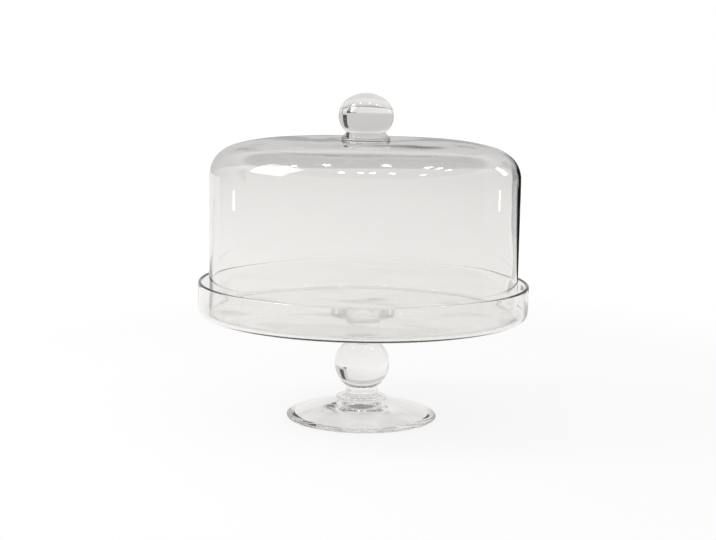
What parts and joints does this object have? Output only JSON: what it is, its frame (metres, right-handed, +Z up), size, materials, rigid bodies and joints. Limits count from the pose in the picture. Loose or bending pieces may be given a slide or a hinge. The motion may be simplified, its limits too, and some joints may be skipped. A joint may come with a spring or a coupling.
{
  "type": "cake stand with dome cover",
  "caption": "Footed clear glass cake stand: a shallow upright-rimmed dish on a ball stem and flared foot, under a lift-off glass dome with a ball knob.",
  "frame": {"origin": "middle of the ring under the foot that the stand rests on", "axes": "+Z up along the axis that every piece is turned about"},
  "size_m": [0.3, 0.3, 0.2957],
  "materials": {
    "blown_glass": "clear, fire-polished, slightly wavy",
    "solid_glass": "clear, fire-polished"
  },
  "bodies": {
    "stand": {"dish": "blown_glass", "upper_stem_collar": "solid_glass", "stem_ball": "solid_glass", "lower_stem_collar": "solid_glass", "foot": "blown_glass"},
    "cover": {"dome": "blown_glass", "knob_collar": "solid_glass", "knob": "solid_glass"}
  },
  "joints": [
    {"name": "cover_lift", "type": "slide", "parent": "stand", "child": "cover", "axis": [0, 0, 1], "range_m": [0, 0.2]}
  ]
}
